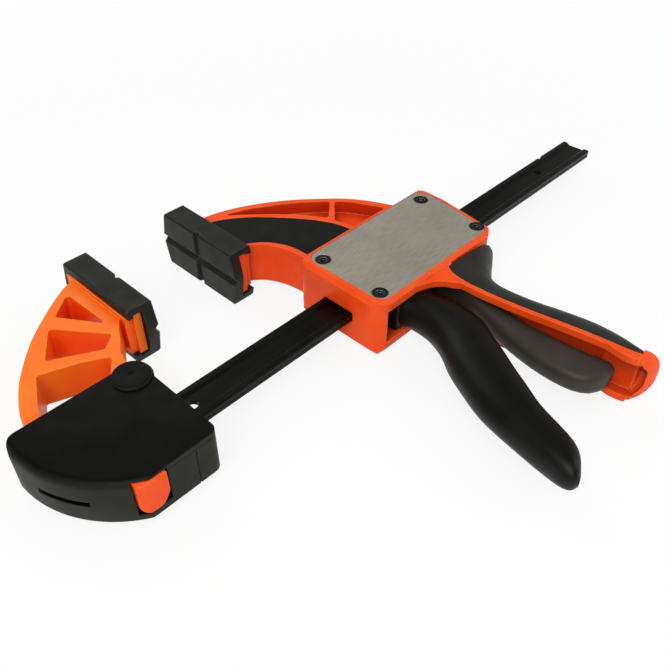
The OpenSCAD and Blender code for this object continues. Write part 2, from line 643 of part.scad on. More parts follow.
// hollow that the handle and the lever move in
module head_hollow() {
    box(cav_front, cav_back, cav_low, cav_high, -cav_z, cav_z);
    // way out for the handle
    box(ref + 6.5, 66, -body_low - 8, 0, -channel_w / 2, channel_w / 2);
    // channel in the grip: wide for the handle, narrower behind for the lever
    front_line = [for (p = grip_edge()) p - [8, 0]];
    both(channel_w / 2) polygon(concat(front_line, grip_points([[70, -131.4], [81.8, -131.4]]),
        rev(grip_line(0.08))));
    both(channel_w / 2) polygon(concat(first(front_line, 24), rev(first(grip_line(0.46), 24))));
    both(lever_t / 2 + 0.8) polygon(concat(first(front_line, 27), rev(first(grip_line(0.7), 27))));
    box(60, lever_nose[0] + 1.2, -body_low - 6, -body_low + 8, -channel_w / 2, channel_w / 2);
    // the channel's smooth end: it widens to an even wall and closes in the nose
    f = spline(grip_f, 3);
    b = spline(grip_b, 3);
    wall = cover_t + cover_fit + 1.9;
    k = len(f) - 12;
    skin(concat(
        [for (i = [k : len(f) - 1]) grip_arc(f[i], b[i], mix(wall + 2.4, wall, min(1, (i - k) / 5)),
            -1 - max(0, i - k - 8))],
        [for (p = [[78.6, -129.8, 91, -129.6, 0], [79.6, -131.3, 91.4, -131.6, 1],
            [81.4, -132.6, 91.4, -132.9, 2.8], [83.2, -133.5, 91.2, -133.8, 5.4]])
            grip_arc(grip_at(p[0], p[1]), grip_at(p[2], p[3]), wall - 0.4, -4, p[4])]));
}
function first(p, n) = [for (i = [0 : n - 1]) p[i]];

// cross rib and the brake plate's seat, inside the hollow
module head_ribs() {
    box(rib_x, rib_x + rib_t, lp[1] + 4.6, cav_high + e, -cav_z - e, cav_z + e);
    for (x = [brake_at[0] - brake_t / 2 - 3.2, brake_at[0] + brake_t / 2 + 1])
        box(x, x + 2, brake_at[1] - 2, cav_high + e, -cav_z - e, cav_z + e);
    for (p = screw_at()) pin(p, 7, -cav_z - e, cav_z + e);
}
function screw_at() = [for (x = [-1, 1]) for (y = [-1, 1])
    screw_c + [x * screw_span_x / 2, y * screw_span_y / 2]];

// bevel along the body's long edges and its front and back edges
module body_bevel() for (s = [0, 1]) mirror([0, 0, s]) {
    c = 2.2;
    for (y = [-body_low, body_high]) translate([ref - 10, y, bz]) rotate([45, 0, 0])
        translate([0, -c * 0.707, -c * 0.707]) cube([body_len + 20, c * 1.414, c * 1.414]);
    translate([ref, -60, bz]) rotate([0, 45, 0])
        translate([-c * 0.707, 0, -c * 0.707]) cube([c * 1.414, 120, c * 1.414]);
}

function plate_outline(in = 0) = let (b = plate_border + in) rounded([
    [ref + b + 1.8, -body_low + b, 6], [ref + b + 1.8, body_high - b, 6],
    [body_back - b + 0.8, body_high - b, 5], [body_back - b + 0.9, 10, 20],
    [body_back - body_slant - b + 0.8, -body_low + b, 4]]);

module head_body() color(orange) head() difference() {
    union() {
        difference() {
            union() {
                difference() {
                    both(bz) polygon(body_outline());
                    body_bevel();
                }
                grip_core();
            }
            head_hollow();
        }
        intersection() {
            head_ribs();
            both(bz - 3) polygon(body_outline(1));
        }
        arm();
    }
    // slot for the bar
    box(ref - 5, body_back + 5, -bar_w / 2 - bar_play, bar_w / 2 + bar_play,
        -bar_t / 2 - bar_play, bar_t / 2 + bar_play);
    // recesses for the side plates
    for (s = [0, 1]) mirror([0, 0, s]) slab(plate_z, bz + 1) polygon(plate_outline());
    for (p = screw_at()) {
        pin(p, screw_d, -bz, bz);
        for (s = [0, 1]) mirror([0, 0, s]) pin(p, screw_head_d + 0.2, plate_z - 0.8, bz);
    }
    pin(hp, handle_pin_d, -plate_z, plate_z);
    pin(lp, lever_pin_d, -plate_z, plate_z);
    // lanyard hole through the back of the nose
    translate([lanyard_at()[0], lanyard_at()[1], 1.5]) rotate([0, 90, -15])
        translate([0, 0, -12]) cylinder(r = lanyard_r, h = 24);
}
function lanyard_at() = grip_at(90, -131.4);

module side_plate() difference() {
    slab(plate_z, plate_z + plate_t) polygon(plate_outline(0.15));
    for (p = screw_at()) pin(p, screw_head_d + 0.2, 0, bz + 1);
}
module side_plate_top() color(steel) head() side_plate();
module side_plate_bottom() color(steel) head() mirror([0, 0, 1]) side_plate();

module plate_screws() for (p = screw_at()) translate([p[0], p[1], plate_z + plate_t - screw_len])
    socket_screw(screw_head_d, plate_t + 0.8, screw_d - 0.04, screw_len);
module plate_screws_top() color(dark) head() plate_screws();
module plate_screws_bottom() color(dark) head() mirror([0, 0, 1]) plate_screws();

// ---- squeeze handle ----
function handle_at(x, y) = [x - 44 + hp[0], y * handle_len / 142];
function handle_points(p) = [for (q = p) handle_at(q[0], q[1])];
// front and back edge of the handle's free part, from the body down to its tip
handle_f = handle_points([[39.8, -22], [40.3, -31], [40, -39], [38.1, -47], [34, -56], [27, -66],
    [20.8, -78], [15.5, -90], [12.6, -101], [10.7, -113], [9, -125], [8, -135], [8.8, -140], [11.5, -141.8]]);
handle_b = handle_points([[57, -22], [60.5, -31.5], [63, -42], [63.4, -52], [61.4, -62.5],
    [57.2, -70], [51, -81], [45.5, -90], [40, -99.5], [34, -109.5], [29.6, -120.5], [26, -130],
    [21.6, -135.8], [15.5, -140]]);
// half thickness at each of n stations, thinner towards the tip by the shares in tip
function station_z(n, t, tip) = [for (i = [0 : n - 1]) let (k = n - 1 - i)
    t / 2 * (k < len(tip) ? tip[k] : 1)];

// oval cross section between the edges f and b, h high to each side
function oval(f, b, h, front_n, back_n, n = 20) =
    let (m = (f + b) / 2, a = norm(b - f) / 2, d = unit(b - f))
    [for (j = [0 : n - 1]) let (t = -360 * (j + 0.5) / n, q = 2 / (cos(t) > 0 ? back_n : front_n),
        u = a * sign(cos(t)) * pow(abs(cos(t)), q))
        [m[0] + d[0] * u, m[1] + d[1] * u, h * sign(sin(t)) * pow(abs(sin(t)), q)]];

// smooth blade with oval sections between the edges f and b, z high to each side
module loft(f, b, z, front_n, back_n, steps) {
    sf = spline(f, steps);
    sb = spline(b, steps);
    sz = spline(z, steps);
    skin([for (i = [0 : len(sf) - 1]) oval(sf[i], sb[i], min(sz[i], max(z)), front_n, back_n, 24)]);
}

module squeeze_handle() color(black) head() difference() {
    union() {
        loft(handle_f, handle_b, station_z(len(handle_f), handle_t, [0.3, 0.72, 0.92]), 2.2, 3, 3);
        both(handle_t / 2) polygon([handle_f[0] - [0, 3], handle_b[0] - [0, 3], [drive_x - 4, -14.5],
            [drive_x - gap, -7], [drive_x - gap, -2], [hp[0] + 6.5, hp[1] - 2], hp, [hp[0] - 6, hp[1] - 8],
            [hp[0] - 7, -10]]);
        pin(hp, 12.4, -handle_t / 2, handle_t / 2);
    }
    pin(hp, handle_pin_d + 2 * pin_play, -bz, bz);
    // window for the bar
    box(20, 70, -bar_w / 2 - 4, bar_w / 2 + 3, -bar_t / 2 - 0.6, bar_t / 2 + 0.6);
    // hollow back
    both(handle_t / 2 - handle_wall) polygon(handle_points([[75, -33], [75, -100], [45, -122], [24, -118],
        [17.6, -111], [19.5, -98], [25, -86], [31.5, -74], [38.5, -62], [43.5, -50], [47, -40], [55, -33]]));
}

module handle_pin() color(steel) head() pin(hp, handle_pin_d - 0.02, -plate_z + 0.1, plate_z - 0.1);

// ---- drive ----
module drive_plates() color(steel) head() for (i = [0 : drive_count - 1]) difference() {
    x = drive_x + i * (drive_t + 0.1);
    box(x, x + drive_t, -drive_y, drive_y, -drive_z, drive_z);
    box(x - 1, x + drive_t + 1, -bar_w / 2 - bar_play, bar_w / 2 + bar_play,
        -bar_t / 2 - bar_play, bar_t / 2 + bar_play);
}

drive_end = drive_x + drive_count * (drive_t + 0.1);
module drive_spring() color(steel) head() for (s = [-1, 1])
    translate([drive_end + 0.05, 0, s * 6.6]) rotate([0, 90, 0])
        spring(2.6, rib_x - drive_end - 0.15, 5, wire_d * 0.8);

// ---- brake and release ----
module brake_plate() color(steel) head() translate([brake_at[0], brake_at[1], 0])
    rotate([0, 0, -brake_tilt]) difference() {
        box(-brake_t / 2, brake_t / 2, -brake_len, 0, -drive_z, drive_z);
        h = bar_w / 2 / cos(brake_tilt) + brake_t / 2 * tan(brake_tilt) + 0.15;
        m = -brake_at[1] / cos(brake_tilt);
        box(-brake_t, brake_t, m - h, m + h, -bar_t / 2 - bar_play, bar_t / 2 + bar_play);
    }

brake_spring_y = -bar_w / 2 - 3.1;
brake_spring_x = brake_at[0] + brake_t - (brake_at[1] - brake_spring_y) * tan(brake_tilt) - 0.9;
module brake_spring() color(steel) head() translate([brake_spring_x, brake_spring_y, 0])
    rotate([0, 90, 0]) spring(2, cav_back - brake_spring_x - 0.1, 6, wire_d * 0.8);

// front and back edge of the lever's free part, from below its pin to its tip
lever_f = grip_points([[73.6, -24], [73.2, -32], [71.6, -42], [68, -53], [63.5, -66], [60, -78],
    [57.6, -90], [56.8, -101], [57.8, -111], [61.5, -118], [68, -121.6]]);
lever_b = grip_points([[82, -25], [80.4, -34], [78.4, -44], [76.4, -56], [75.4, -68], [75.4, -80],
    [76.2, -92], [77.2, -103], [78.6, -112], [79.6, -118], [77, -121.6]]);
// tip of the nose that pushes the brake plate
lever_nose = [brake_at[0] - (brake_at[1] - cav_low - 2.2) * tan(brake_tilt) - brake_t / 2 - gap,
              cav_low + 2.2];

module release_lever() color(dark) head() difference() {
    union() {
        loft(lever_f, lever_b, station_z(len(lever_f), lever_t, [0.76, 0.94]), 3, 3, 2);
        both(lever_t / 2) polygon([lp + [-4, 0], lever_f[0] - [0, 3], lever_b[0] - [0, 3],
            lever_nose + [-1, -4], lever_nose + [0, -1], lever_nose + [-0.4, 1.4], lp + [4, -1.5], lp]);
        pin(lp, 8.2, -lever_t / 2, lever_t / 2);
    }
    pin(lp, lever_pin_d + 2 * pin_play, -bz, bz);
}
module lever_pin() color(steel) head() pin(lp, lever_pin_d - 0.02, -plate_z + 0.1, plate_z - 0.1);

bar();
housing_upper();
housing_lower();
housing_screws();
jaw_pin();
pivot_cap();
swing_jaw();
fixed_pad();
lock_button();
lock_catch();
lock_pin();
lock_spring();
head_body();
side_plate_top();
side_plate_bottom();
plate_screws_top();
plate_screws_bottom();
arm_inlay_top();
arm_inlay_bottom();
moving_pad();
grip_cover();
squeeze_handle();
handle_pin();
drive_plates();
drive_spring();
brake_plate();
brake_spring();
release_lever();
lever_pin();
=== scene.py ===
# %% [markdown]
# # Dressing a quick release bar clamp
#
# The clamp's solids come from CAD at their real size, and they already move as the real clamp
# does. This notebook gives them their looks: rounded edges, moulded and brushed surfaces,
# coiled springs, light and a camera. The pieces could be modelled again by eye, but their sizes
# would drift, so each one starts from its solid, in metres, and stays where CAD put it.

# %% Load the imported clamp
import json
import bpy
import bmesh
import numpy as np
from mathutils import Matrix, Vector


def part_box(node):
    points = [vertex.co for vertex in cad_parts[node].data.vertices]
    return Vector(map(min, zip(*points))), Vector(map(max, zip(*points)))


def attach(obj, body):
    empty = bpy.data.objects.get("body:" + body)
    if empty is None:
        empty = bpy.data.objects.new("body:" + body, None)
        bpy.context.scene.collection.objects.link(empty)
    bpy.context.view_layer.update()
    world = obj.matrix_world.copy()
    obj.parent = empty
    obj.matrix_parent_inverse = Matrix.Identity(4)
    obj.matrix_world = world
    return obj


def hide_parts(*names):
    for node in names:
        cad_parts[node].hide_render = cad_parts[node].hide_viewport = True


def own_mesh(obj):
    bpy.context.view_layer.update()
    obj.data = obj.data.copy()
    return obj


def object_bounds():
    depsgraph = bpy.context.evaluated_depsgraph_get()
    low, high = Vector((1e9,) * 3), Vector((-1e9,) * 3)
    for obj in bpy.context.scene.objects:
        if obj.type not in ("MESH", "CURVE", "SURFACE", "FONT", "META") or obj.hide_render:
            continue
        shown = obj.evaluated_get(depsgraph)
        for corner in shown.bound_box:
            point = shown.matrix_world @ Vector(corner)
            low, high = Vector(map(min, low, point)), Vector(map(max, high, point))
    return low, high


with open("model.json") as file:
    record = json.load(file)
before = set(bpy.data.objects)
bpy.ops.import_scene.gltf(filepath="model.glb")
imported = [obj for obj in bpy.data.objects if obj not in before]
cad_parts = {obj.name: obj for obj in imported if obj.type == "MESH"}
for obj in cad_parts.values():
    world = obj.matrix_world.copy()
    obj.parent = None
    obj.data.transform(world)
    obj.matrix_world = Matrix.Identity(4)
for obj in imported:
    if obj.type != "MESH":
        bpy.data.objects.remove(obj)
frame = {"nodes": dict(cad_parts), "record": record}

MM = 0.001
nodes = frame["nodes"]
body_of = {node: body for body, members in frame["record"]["behaviour"]["bodies"].items()
           for node in members}
cad_box = [list(corner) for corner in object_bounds()]
print("solids:", len(nodes), "bodies:", len(set(body_of.values())))

# %% [markdown]
# ## The camera
#
# The clamp lies on a table and is seen from above its fixed jaw. A camera can be aimed with a
# constraint, but it is clearer to build its axes from three angles: yaw turns it about the
# vertical, pitch tips it down, and roll turns it about its own line of sight.

# %% Camera
YAW, PITCH, ROLL = np.radians([43.66, 41.955, 0.274])
CAMERA_AT = np.array([-138.3, -195.35, 241.1]) * MM
LENS_MM, SENSOR_MM = 40.6, 36.0
NEAREST, FARTHEST = 0.01, 20.0     # what the camera sees, in metres from it

sight = np.array([np.cos(PITCH) * np.cos(YAW), np.cos(PITCH) * np.sin(YAW), -np.sin(PITCH)])
right = np.array([np.sin(YAW), -np.cos(YAW), 0.0])
down = np.cross(sight, right)
right, down = (np.cos(ROLL) * right - np.sin(ROLL) * down,
               np.sin(ROLL) * right + np.cos(ROLL) * down)

camera_data = bpy.data.cameras.new("camera")
camera_data.lens = LENS_MM
camera_data.sensor_width = SENSOR_MM
camera_data.clip_start = NEAREST
camera_data.clip_end = FARTHEST
camera = bpy.data.objects.new("camera", camera_data)
camera.matrix_world = Matrix.Translation(CAMERA_AT) @ Matrix(
    np.column_stack([right, -down, -sight])).to_4x4()
bpy.context.collection.objects.link(camera)
bpy.context.scene.camera = camera
print("camera at", np.round(CAMERA_AT, 4).tolist(), "looking along", np.round(sight, 3).tolist())

# %% [markdown]
# ## Colours and shader nodes
#
# Colours are written as sRGB hex values, as in a paint chart, and shaders count in linear
# light. Each could be converted by hand, but one function does it the same way for all of
# them. Nodes could be wired up in the editor. Here one function adds a node with its settings
# and its links, so that a material reads from top to bottom like a recipe.

# %% Colours and nodes
# a Mix node has its sockets for colours and for numbers side by side, so they go by number
COLOUR_A, COLOUR_B, COLOUR_OUT = 6, 7, 2
NUMBER_A, NUMBER_B, NUMBER_OUT = 2, 3, 0


def linear(colour):
    """sRGB hex to linear RGBA: c / 12.92 up to 0.04045, ((c + 0.055) / 1.055) ** 2.4 above."""
    c = np.array([int(colour[i:i + 2], 16) for i in (1, 3, 5)]) / 255
    return (*np.where(c <= 0.04045, c / 12.92, ((c + 0.055) / 1.055) ** 2.4).tolist(), 1.0)


def add(tree, kind, values=None, **options):
    """Adds a shader node: options are its settings, values fill sockets with numbers or links."""
    made = tree.nodes.new("ShaderNode" + kind)
    for key, value in options.items():
        setattr(made, key, value)
    for key, value in (values or {}).items():
        if isinstance(value, bpy.types.NodeSocket):
            tree.links.new(value, made.inputs[key])
        else:
            made.inputs[key].default_value = value
    return made


print("#808080 is", round(linear("#808080")[0], 3), "in linear light")

# %% [markdown]
# ## Patterns at their real size
#
# Patterns read Object coordinates, which are metres on the clamp, so a grain of half a
# millimetre is written as half a millimetre. A picture could carry the grain, but noise has no
# seams and fits every shape. Edges get a painted highlight, a slightly lighter colour, and they
# are found by comparing a slightly rounded normal with the true one.

# %% Size of a pattern, and edges for the painted highlight
NOISE_LOW, NOISE_HIGH = 0.3, 0.7   # nearly all of a noise lies between these
EDGE_TURN = 0.12                   # 1 - cosine of the turn at which an edge counts in full
RAYS = 6                           # samples where a node looks around a point


def per_metre(size_mm):
    """A pattern's scale: how many features of this size go into a metre."""
    return 1 / (size_mm * MM)


def edges(tree, radius_mm):
    """1 on outer and inner edges and 0 on flat parts, where the painted highlight goes, and the
    rounded normal.

    The value is (1 - rounded normal . true normal) / EDGE_TURN, and at most 1."""
    soft = add(tree, "Bevel", {"Radius": radius_mm * MM}, samples=RAYS).outputs["Normal"]
    true = add(tree, "NewGeometry").outputs["Normal"]
    same = add(tree, "VectorMath", {0: soft, 1: true}, operation="DOT_PRODUCT").outputs["Value"]
    edge_highlight = add(tree, "MapRange", {"Value": same, "From Min": 1 - EDGE_TURN, "From Max": 1.0,
                                    "To Min": 1.0, "To Max": 0.0}).outputs["Result"]
    return edge_highlight, soft


print("edges count in full from a turn of", round(np.degrees(np.arccos(1 - EDGE_TURN))), "degrees")

# %% [markdown]
# ## How a material starts and ends
#
# A new material comes with nodes of its own, which could be kept and changed. It is plainer to
# clear them: every material then starts from Object coordinates, and ends in one Principled
# shader, which plastic, rubber and steel all share.


# %% Start and end of a material
def start_material(name):
    """A named material with an empty tree, and its Object coordinates."""
    material = bpy.data.materials.new(name)
    material.use_nodes = True
    tree = material.node_tree
    tree.nodes.clear()
    return material, tree, add(tree, "TexCoord").outputs["Object"]


def finish_material(material, tree, sockets):
    """Ends a material with one Principled shader."""
    shader = add(tree, "BsdfPrincipled", sockets)
    add(tree, "OutputMaterial", {"Surface": shader.outputs["BSDF"]})
    print("material", material.name, "has", len(tree.nodes), "nodes")
    return material


print("materials that came with the solids:", len(bpy.data.materials))

# %% [markdown]
# ## Painted shade and light that follow the shape
#
# The orange pockets get painted shade, a darker and redder colour, and the upright walls of a
# black shell get painted light, a paler black. Such places could be painted by hand. Two nodes
# find
# them instead: Ambient Occlusion sees how much of the sky a piece hides from itself, and the
# height of the normal tells a wall from a flat face.

# %% Painted shade in hollows, painted light on walls
HOLLOW_MM = 24.0                   # how far away a piece's own walls still count
HOLLOW_SKY, OPEN_SKY = 0.3, 0.78   # share of the sky seen far inside a hollow, and out in the open
WALL_LEVEL, FLAT_LEVEL = 0.3, 0.95   # height of the normal on a wall, and on a flat face


def hollows(tree):
    """Where the painted shade goes: 1 far inside a hollow and 0 in the open, by the share of the
    sky that a piece itself hides.
    """
    sky = add(tree, "AmbientOcclusion", {"Distance": HOLLOW_MM * MM}, samples=RAYS,
              only_local=True)
    return add(tree, "MapRange", {"Value": sky.outputs["AO"], "From Min": HOLLOW_SKY,
                                  "From Max": OPEN_SKY, "To Min": 1.0,
                                  "To Max": 0.0}).outputs["Result"]


def walls(tree):
    """Where the painted light goes: 1 on upright faces and 0 on flat ones, by how much of the
    normal points up or down.
    """
    facing = add(tree, "SeparateXYZ", {0: add(tree, "NewGeometry").outputs["Normal"]})
    level = add(tree, "Math", {0: facing.outputs["Z"]}, operation="ABSOLUTE")
    return add(tree, "MapRange", {"Value": level.outputs["Value"], "From Min": WALL_LEVEL,
                                  "From Max": FLAT_LEVEL, "To Min": 1.0,
                                  "To Max": 0.0}).outputs["Result"]


print("hollows are felt within", HOLLOW_MM, "mm")

# %% [markdown]
# ## Moulded plastics and rubbers
#
# Most of the clamp is injection moulded. Glass filled nylon comes out of a spark eroded mould
# with a very fine grain, and its pigment is faintly cloudy. Soft rubber is duller, and its grain
# is coarser. Each could have a material of its own, but they differ only in their values, so one
# recipe makes them all: a cloudy colour, a grain in the bump, and edges painted slightly lighter
# as a painted highlight.

# %% One recipe for every moulded finish
CLOUD_MM, CLOUD_DETAIL = 14.0, 4.0   # clouds in the pigment
HIGHLIGHT_PATCH_MM, HIGHLIGHT_PATCH_DETAIL = 5.0, 3.0      # patches where the painted edge highlight is stronger
HIGHLIGHT_PATCH_LOW, HIGHLIGHT_PATCH_HIGH, HIGHLIGHT_PATCH_LEAST = 0.35, 0.65, 0.2
GLOSS_MM, GLOSS_DETAIL = 9.0, 5.0    # patches that shine more
GRAIN_DETAIL, GRAIN_STRENGTH = 2.0, 0.6
MOULDED_IOR = 1.5
MOULDED_WANDER = 0.06                # how far the roughness wanders to either side


def moulded(name, dark, light, edge, roughness, grain_mm, grain_depth_mm, shine, edge_mm,
            hollow_shade=None, wall=None):
    """Cloudy pigment from dark to light, a painted highlight on the edges, and a fine grain in the
    bump.

    The painted highlight reaches edge_mm in from an edge, and shine is the shader's specular
    level. Where a colour for the hollows is given, the colour turns to it there as painted shade.
    Where wall is given, the colour turns to it on upright faces as painted light."""
    material, tree, where = start_material(name)
    clouds = add(tree, "TexNoise", {"Vector": where, "Scale": per_metre(CLOUD_MM),
                                    "Detail": CLOUD_DETAIL})
    cloudy = add(tree, "MapRange", {"Value": clouds.outputs["Fac"], "From Min": NOISE_LOW,
                                    "From Max": NOISE_HIGH})
    pigment = add(tree, "Mix", {"Factor": cloudy.outputs["Result"], COLOUR_A: linear(dark),
                                COLOUR_B: linear(light)}, data_type="RGBA").outputs[COLOUR_OUT]
    # painted shade: a darker, redder colour in the hollows
    if hollow_shade:
        pigment = add(tree, "Mix", {"Factor": hollows(tree), COLOUR_A: pigment,
                                    COLOUR_B: linear(hollow_shade)}, data_type="RGBA").outputs[COLOUR_OUT]
    # painted light: a paler colour on upright faces
    if wall:
        pigment = add(tree, "Mix", {"Factor": walls(tree), COLOUR_A: pigment,
                                    COLOUR_B: linear(wall)}, data_type="RGBA").outputs[COLOUR_OUT]
    # painted highlight: a lighter colour on the edges, stronger in random patches
    edge_highlight, soft = edges(tree, edge_mm)
    highlight_patches = add(tree, "TexNoise", {"Vector": where, "Scale": per_metre(HIGHLIGHT_PATCH_MM),
                                  "Detail": HIGHLIGHT_PATCH_DETAIL})
    highlight_strength = add(tree, "MapRange", {"Value": highlight_patches.outputs["Fac"], "From Min": HIGHLIGHT_PATCH_LOW,
                                  "From Max": HIGHLIGHT_PATCH_HIGH, "To Min": HIGHLIGHT_PATCH_LEAST, "To Max": 1.0})
    patchy_highlight = add(tree, "Math", {0: edge_highlight, 1: highlight_strength.outputs["Result"]}, operation="MULTIPLY")
    colour = add(tree, "Mix", {"Factor": patchy_highlight.outputs["Value"], COLOUR_A: pigment,
                               COLOUR_B: linear(edge)}, data_type="RGBA").outputs[COLOUR_OUT]
    grain = add(tree, "TexNoise", {"Vector": where, "Scale": per_metre(grain_mm),
                                   "Detail": GRAIN_DETAIL})
    bump = add(tree, "Bump", {"Height": grain.outputs["Fac"], "Distance": grain_depth_mm * MM,
                              "Strength": GRAIN_STRENGTH, "Normal": soft})
    gloss = add(tree, "TexNoise", {"Vector": where, "Scale": per_metre(GLOSS_MM),
                                   "Detail": GLOSS_DETAIL})
    dulled = add(tree, "MapRange", {"Value": gloss.outputs["Fac"], "From Min": NOISE_LOW,
                                    "From Max": NOISE_HIGH,
                                    "To Min": roughness - MOULDED_WANDER,
                                    "To Max": roughness + MOULDED_WANDER})
    return finish_material(material, tree, {
        "Base Color": colour, "IOR": MOULDED_IOR, "Specular IOR Level": shine,
        "Normal": bump.outputs["Normal"], "Roughness": dulled.outputs["Result"]})


print("pigment clouds are about", CLOUD_MM, "mm across")

# %% [markdown]
# ## Nylons
#
# Both heads are glass filled nylon, orange for the jaw and the trigger head and black for the
# shells and the handle. The one orange nylon is painted twice: a lighter, yellower copy for
# the swing jaw as painted light, and a deeper, redder copy for the trigger head as painted shade.

# %% The nylons of both heads, the handle and the lever
# swing jaw: satin, the lit copy of the orange nylon, lighter and yellower as painted light, and
# redder in its pockets as painted shade
orange_nylon = moulded(
    "orange_nylon_moulded", dark="#FC6C0C", light="#FF7C18", edge="#FFA648", hollow_shade="#F8420A",
    roughness=0.4, grain_mm=0.7, grain_depth_mm=0.012, shine=0.15, edge_mm=0.9)
# trigger head and button: the shaded copy of the same nylon, deeper and redder as painted shade
body_nylon = moulded(
    "orange_nylon_shaded_copy", dark="#F04A12", light="#FA561C", edge="#FF8444", hollow_shade="#B82808",
    roughness=0.4, grain_mm=0.7, grain_depth_mm=0.012, shine=0.15, edge_mm=0.9)
# the fixed head's shells, spark eroded mould: matte to satin, upright walls a paler black as
# painted light
housing_nylon = moulded(
    "black_nylon_spark_eroded", dark="#060703", light="#0B0C07", edge="#34352F", wall="#26271F",
    roughness=0.48, grain_mm=0.8, grain_depth_mm=0.015, shine=0.1, edge_mm=0.6)
# the squeeze handle: a finer mould, and glossier from the hand
handle_nylon = moulded(
    "black_nylon_satin", dark="#090A07", light="#0F100C", edge="#2A2B25",
    roughness=0.4, grain_mm=0.6, grain_depth_mm=0.01, shine=0.2, edge_mm=0.8)
# the release lever: warm dark grey
lever_nylon = moulded(
    "grey_nylon_satin", dark="#37322C", light="#3F3933", edge="#4C4640",
    roughness=0.42, grain_mm=0.6, grain_depth_mm=0.01, shine=0.2, edge_mm=0.8)

# %% [markdown]
# ## Rubbers and the arm's inlays
#
# The pads and the back of the grip are soft so that they don't slip, and the inlays fill the
# arm's recesses. They could share the black of the shells, but rubber throws light back more
# softly and holds dust, so each has a paler black and a coarser grain.

# %% Rubber of the pads and the grip, plastic of the inlays
# jaw pads: soft moulded rubber
pad_rubber = moulded(
    "black_pad_rubber_moulded", dark="#151610", light="#1E1F19", edge="#55564E",
    roughness=0.5, grain_mm=0.9, grain_depth_mm=0.02, shine=0.2, edge_mm=0.9)
# back of the grip: thermoplastic rubber moulded over the nylon, dull and a little dusty
grip_rubber = moulded(
    "black_grip_rubber_overmoulded", dark="#1C1D17", light="#282922", edge="#3A3B34",
    roughness=0.5, grain_mm=1.0, grain_depth_mm=0.03, shine=0.3, edge_mm=0.6)
# the arm's inlays: matte plastic
inlay_nylon = moulded(
    "black_inlay_plastic", dark="#0E0F0B", light="#151611", edge="#2A2B26",
    roughness=0.55, grain_mm=0.8, grain_depth_mm=0.015, shine=0.14, edge_mm=0.5)

# %% [markdown]
# ## Steel
#
# Rolling, drawing and brushing leave long faint lines, and the edges get a painted highlight,
# a lighter colour. An anisotropic shader could stand for the lines, but it shows none of them up
# close, so they are a noise that is stretched along one axis. Metals keep the default index of
# refraction, and their colour is that of the reflection.

# %% One recipe for every steel finish
OXIDE_MM, OXIDE_DETAIL = 20.0, 3.0   # clouds in the coating
LINE_DETAIL, LINE_STRENGTH = 3.0, 0.5
LINE_SHARE, CLOUD_SHARE = 0.65, 0.35
TONE_LOW, TONE_HIGH = 0.2, 0.8
STEEL_WANDER = 0.07                  # how far the roughness wanders to either side


def steel(name, dark, light, edge, roughness, line_mm, line_stretch, line_depth_mm, along="X",
          edge_mm=0.4, metal=1.0):
    """Fine parallel lines along one axis in colour, roughness and bump, and a painted highlight on
    the edges.

    The lines are a noise that a Mapping node draws out by line_stretch along that axis."""
    material, tree, where = start_material(name)
    drawn = add(tree, "Mapping", {"Vector": where, "Scale": [
        1 / line_stretch if axis == along else 1.0 for axis in "XYZ"]})
    lines = add(tree, "TexNoise", {"Vector": drawn.outputs["Vector"],
                                   "Scale": per_metre(line_mm),
                                   "Detail": LINE_DETAIL}).outputs["Fac"]
    lined = add(tree, "MapRange", {"Value": lines, "From Min": NOISE_LOW,
                                   "From Max": NOISE_HIGH, "To Max": LINE_SHARE})
    clouds = add(tree, "TexNoise", {"Vector": where, "Scale": per_metre(OXIDE_MM),
                                    "Detail": OXIDE_DETAIL})
    cloudy = add(tree, "MapRange", {"Value": clouds.outputs["Fac"], "From Min": NOISE_LOW,
                                    "From Max": NOISE_HIGH, "To Max": CLOUD_SHARE})
    both = add(tree, "Math", {0: lined.outputs["Result"], 1: cloudy.outputs["Result"]},
               operation="ADD")
    tone = add(tree, "MapRange", {"Value": both.outputs["Value"], "From Min": TONE_LOW,
                                  "From Max": TONE_HIGH})
    plain = add(tree, "Mix", {"Factor": tone.outputs["Result"], COLOUR_A: linear(dark),
                              COLOUR_B: linear(light)}, data_type="RGBA").outputs[COLOUR_OUT]
    # painted highlight: a lighter colour on the edges
    edge_highlight, soft = edges(tree, edge_mm)
    colour = add(tree, "Mix", {"Factor": edge_highlight, COLOUR_A: plain, COLOUR_B: linear(edge)},
                 data_type="RGBA").outputs[COLOUR_OUT]
    bump = add(tree, "Bump", {"Height": lines, "Distance": line_depth_mm * MM,
                              "Strength": LINE_STRENGTH, "Normal": soft})
    dulled = add(tree, "MapRange", {"Value": lines, "From Min": NOISE_LOW,
                                    "From Max": NOISE_HIGH,
                                    "To Min": roughness - STEEL_WANDER,
                                    "To Max": roughness + STEEL_WANDER})
    return finish_material(material, tree, {
        "Base Color": colour, "Metallic": metal, "Normal": bump.outputs["Normal"],
        "Roughness": dulled.outputs["Result"]})


print("lines carry", LINE_SHARE, "and clouds", CLOUD_SHARE, "of a steel's tone")

# %% [markdown]
# ## The clamp's steels
#
# The bar is cold rolled with a black oxide skin. The side plates are nickel plated and finely
# brushed, which spreads their reflections across the lines, and what sits inside is zinc
# plated or drawn wire. One grey could do for what is inside, but it shows through the openings.

# %% Bar, side plates, screws, inner plates and springs
# bar, cold rolled with black oxide: rolling lines 1 mm apart and some 60 mm long
bar_steel = steel(
    "black_oxide_bar", dark="#161713", light="#20211D", edge="#44453F", roughness=0.4,
    line_mm=1.0, line_stretch=60.0, line_depth_mm=0.008)
# side plates, brushed nickel: lines 0.5 mm apart, coarser than real so that they show
plate_steel = steel(
    "nickel_plate_brushed", dark="#A79E90", light="#BDB4A6", edge="#E4DDD2", roughness=0.36,
    line_mm=0.5, line_stretch=14.0, line_depth_mm=0.003, edge_mm=0.25, metal=0.55)
